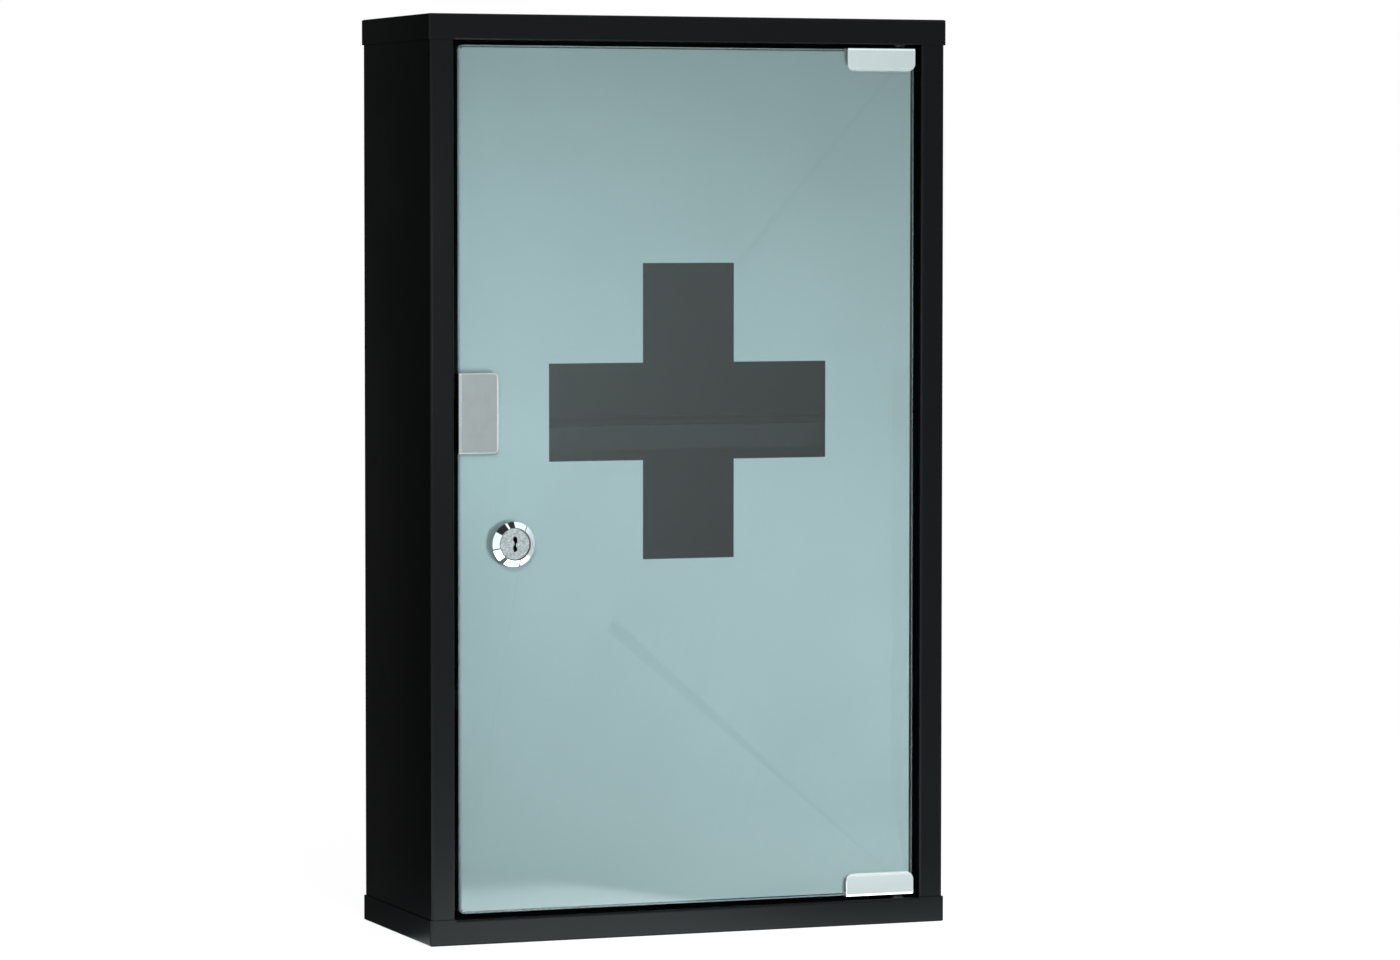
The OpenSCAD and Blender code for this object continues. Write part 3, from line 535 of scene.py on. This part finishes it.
# Dark flags of the studio: direction from the cabinet, half-angle of the flag, half-angle where
# it is fully dark, and the share of light left. The first darkens the left side of the case, the
# second the right end of the clear cross, the third the lower clip, and the rest are the dark
# patches round the bezel.
FLAGS = (
    (Vector((-0.357, 0.934, -0.05)), 48.0, 28.0, 0.03),
    (Vector((0.643, -0.765, -0.05)), 22.0, 10.0, 0.30),
    (Vector((0.267, -0.115, -0.216)), 15.0, 9.0, 0.75),
    (mirrored_by_bezel(101), 10.6, 9.6, 0.03),
    (mirrored_by_bezel(132), 18.9, 17.9, 0.03),
    (mirrored_by_bezel(195), 3.5, 3.0, 0.03),
    (mirrored_by_bezel(233.5), 8.8, 8.0, 0.03),
    (mirrored_by_bezel(45), 2.0, 1.4, 0.10),
)
# Bright strip of floor before the cabinet, which its foot reflects. On the left it reaches
# further and is brighter than on the right. Behind the cabinet's front the floor is dark.
FOOT_FRONT = -0.120
STRIP_REACH_LEFT = 0.27
STRIP_REACH_RIGHT = 0.07
STRIP_LEVEL_LEFT = 3.6
STRIP_LEVEL_RIGHT = 1.8
# Places across the cabinet between which the reach and the level go from left to right
REACH_CHANGES = (0.0, 0.10)
LEVEL_CHANGES = (0.0, 0.12)
# Distances ahead of the foot between which the strip starts, and shares of its reach between
# which it fades
STRIP_STARTS = (0.0, 2.0 * MM)
STRIP_FADES = (0.6, 1.0)
# Distances ahead of the foot between which the floor goes from dark to its full level
DARK_ENDS = (-0.06, -0.01)
BEHIND_LEVEL = 0.12
FLOOR_HALF = 14.0
FLOOR_HEIGHT = -0.2 * MM
FLOOR_SHOWN = 0.90


def make_studio_glow():
    """How bright the studio looks along a direction, as metal and glass show it."""
    shader, given, made = new_group(
        "studio_glow", [("Direction", "Vector", (0.0, -1.0, 0.0))], ["Level"])
    direction = shader.vector("NORMALIZE", given["Direction"])
    facing = shader.vector("DOT_PRODUCT", direction, BRIGHT_SIDE.normalized(), "Value")
    level = shader.span(facing, *DIM_AND_BRIGHT, DIM_LEVEL, BRIGHT_LEVEL, smooth=True)
    for toward, half_angle, dark_angle, left in FLAGS:
        near = shader.vector("DOT_PRODUCT", direction, toward.normalized(), "Value")
        outer = math.cos(math.radians(half_angle))
        inner = math.cos(math.radians(dark_angle))
        level = shader.math("MULTIPLY", level, shader.span(near, outer, inner, 1.0, left, smooth=True))
    shader.put(level, made["Level"])
    return shader.tree


GLOW = make_studio_glow()


def seen_through_glass(shader, path):
    """1 for rays that come through glass from the camera without a matt surface between."""
    straight = shader.math("LESS_THAN", path["Diffuse Depth"], 0.5)
    return shader.math("MULTIPLY", path["Is Transmission Ray"], straight)


def set_world():
    """White behind the object, the studio's glow in reflections, and a dim even room that lights it."""
    world = bpy.data.worlds.new("studio")
    bpy.context.scene.world = world
    world.use_nodes = True
    world.node_tree.nodes.clear()
    shader = Shader(world.node_tree)
    path = shader.add("ShaderNodeLightPath").outputs
    glossy = path["Is Glossy Ray"]
    white = shader.math("MAXIMUM", path["Is Camera Ray"], seen_through_glass(shader, path))
    direction = shader.add("ShaderNodeTexCoord").outputs["Generated"]
    glow = shader.math("MULTIPLY", glossy, shader.group(GLOW, {"Direction": direction})["Level"])
    other = shader.math("SUBTRACT", 1.0, shader.math("MAXIMUM", white, glossy))
    lit = shader.math("MULTIPLY", other, ROOM_LEVEL)
    room = shader.add("ShaderNodeBackground", {
        "Color": shader.mix_colour(glossy, WHITE, REFLECTED_TINT),
        "Strength": shader.math("ADD", shader.math("MAXIMUM", white, glow), lit)})
    output = shader.add("ShaderNodeOutputWorld")
    shader.put(room.outputs[0], output.inputs["Surface"])


def floor_glow(shader):
    """How bright the floor looks in reflections: the studio's glow, raised before the foot."""
    place = shader.place()
    direction = shader.vector("SUBTRACT", place, LOCK_FRONT)
    apart = shader.add("ShaderNodeSeparateXYZ", {0: place}).outputs
    ahead = shader.math("SUBTRACT", FOOT_FRONT, apart["Y"])
    across = apart["X"]
    reach = shader.span(across, *REACH_CHANGES, STRIP_REACH_LEFT, STRIP_REACH_RIGHT, smooth=True)
    share = shader.math("DIVIDE", ahead, reach)
    level = shader.span(across, *LEVEL_CHANGES, STRIP_LEVEL_LEFT, STRIP_LEVEL_RIGHT, smooth=True)
    bright = shader.span(share, *STRIP_FADES, level, 0.0, smooth=True)
    strip = shader.math("MULTIPLY", bright, shader.span(ahead, *STRIP_STARTS, 0.0, 1.0))
    glow = shader.group(GLOW, {"Direction": direction})["Level"]
    glow = shader.math("MULTIPLY", glow, shader.math("ADD", strip, 1.0))
    behind = shader.span(ahead, *DARK_ENDS, BEHIND_LEVEL, 1.0, smooth=True)
    return shader.math("MULTIPLY", glow, behind)


def lay_floor():
    """A pale floor that reads as white and keeps the object's shadow."""
    mesh = bpy.data.meshes.new("floor")
    corners = [(x * FLOOR_HALF, y * FLOOR_HALF, FLOOR_HEIGHT)
               for x, y in ((-1, -1), (1, -1), (1, 1), (-1, 1))]
    mesh.from_pydata(corners, [], [(0, 1, 2, 3)])
    material, shader, surface = new_material("pale_floor")
    path = shader.add("ShaderNodeLightPath").outputs
    glossy = path["Is Glossy Ray"]
    shader.fill(surface, {
        "Base Color": (0.86, 0.86, 0.86),
        "Roughness": 0.9,
        "Specular IOR Level": 0.0,
        "Emission Color": WHITE,
        "Emission Strength": shader.math("MULTIPLY", path["Is Camera Ray"], FLOOR_SHOWN)})
    through = seen_through_glass(shader, path)
    reflected = shader.math("MULTIPLY", glossy, floor_glow(shader))
    shown = shader.add("ShaderNodeEmission", {
        "Color": shader.mix_colour(glossy, WHITE, REFLECTED_TINT),
        "Strength": shader.math("MAXIMUM", reflected, through)})
    indirect = shader.math("MAXIMUM", glossy, through)
    show(material, shader, shader.mix_shader(indirect, surface.outputs[0], shown.outputs[0]))
    mesh.materials.append(material)
    add_object("floor", mesh)


# Lamps: name, place, the point that they face, width, height, watts, and what they light,
# which is either matt surfaces or those that mirror and pass light.
LAMPS = (
    ("low_softbox", (0.140, -0.585, 0.145), (0.140, -0.113, 0.145), 0.20, 0.20, 1.90, "matt"),
    ("high_softbox", (-0.180, -0.313, 0.341), (-0.10, -0.113, 0.341), 0.08, 0.12, 0.135, "matt"),
    ("high_glint", (-0.178, -0.417, 0.352), (-0.05, -0.117, 0.300), 0.06, 0.10, 0.24, "mirrors"),
    ("low_glint", (-0.15, -0.45, 0.05), (-0.05, -0.117, 0.250), 0.06, 0.05, 0.07, "mirrors"),
    ("back_edge_strip", (-0.185, 0.09, 0.27), (-0.15, 0.0, 0.27), 0.02, 0.54, 0.0046, "mirrors"),
)


def add_lamp(name, place, aim, width, height, watts, lit):
    """A soft lamp that the camera doesn't see."""
    data = bpy.data.lights.new(name, "AREA")
    data.shape = "RECTANGLE"
    data.size = width
    data.size_y = height
    data.energy = watts
    lamp = add_object(name, data)
    lamp.location = place
    lamp.rotation_euler = (Vector(aim) - Vector(place)).to_track_quat("-Z", "Y").to_euler()
    lamp.visible_camera = False
    lamp.visible_diffuse = lit == "matt"
    lamp.visible_glossy = lit == "mirrors"
    lamp.visible_transmission = lit == "mirrors"


set_camera()
dress_nodes()
turn_bezel()
soften_edges()
set_world()
lay_floor()
for row in LAMPS:
    add_lamp(*row)

scene = bpy.context.scene
scene.view_settings.view_transform = "Standard"
